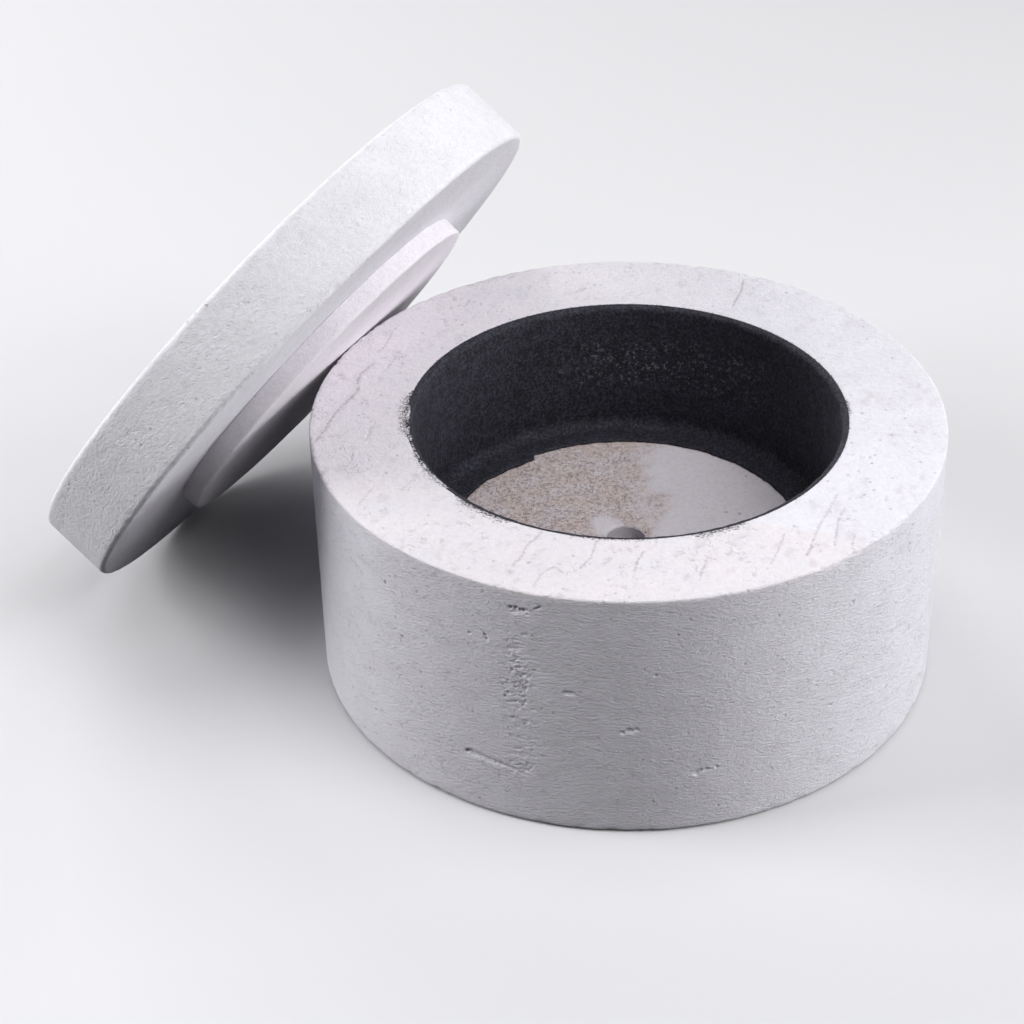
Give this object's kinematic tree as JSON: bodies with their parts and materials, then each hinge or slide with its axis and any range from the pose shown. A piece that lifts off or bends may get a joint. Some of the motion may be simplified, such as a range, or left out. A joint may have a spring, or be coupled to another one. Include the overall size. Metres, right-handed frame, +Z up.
{
  "type": "microwave kiln",
  "caption": "Round microwave kiln of white ceramic fibre: deep body with a black coated chamber and a vent hole, and a stepped lid leaning on its rim.",
  "frame": {"origin": "centre of the body's flat underside, at the lower mouth of the vent hole, on the surface that the body and the lid stand on", "axes": "+Z up along the body's axis, +Y away from the picture's camera, +X to its right; the lid stands at 151 degrees anticlockwise from +X"},
  "size_m": [0.2311, 0.2002, 0.1403],
  "materials": {
    "body_fibre": "matt white ceramic fibre, fine horizontal streaks, pits and a few hairline cracks on the rim",
    "absorber": "rough black silicon carbide coat with fine sparkling grains",
    "wash": "matt light grey wash, sandy beige grit on one side",
    "lid_fibre": "matt white ceramic fibre with small pits",
    "plug_fibre": "matt off-white ceramic fibre, smoother than the disc"
  },
  "bodies": {
    "body": {"kiln_body": "body_fibre", "absorber_coat": "absorber", "floor_wash": "wash"},
    "lid": {"lid_disc": "lid_fibre", "lid_plug": "plug_fibre"}
  },
  "joints": [
    {"name": "lid_tip", "type": "hinge", "parent": "body", "child": "lid", "pos_m": [-0.12992, 0.0663, 0.00798], "axis": [-0.4848, -0.8746, 0], "range_deg": [0, 126]}
  ]
}
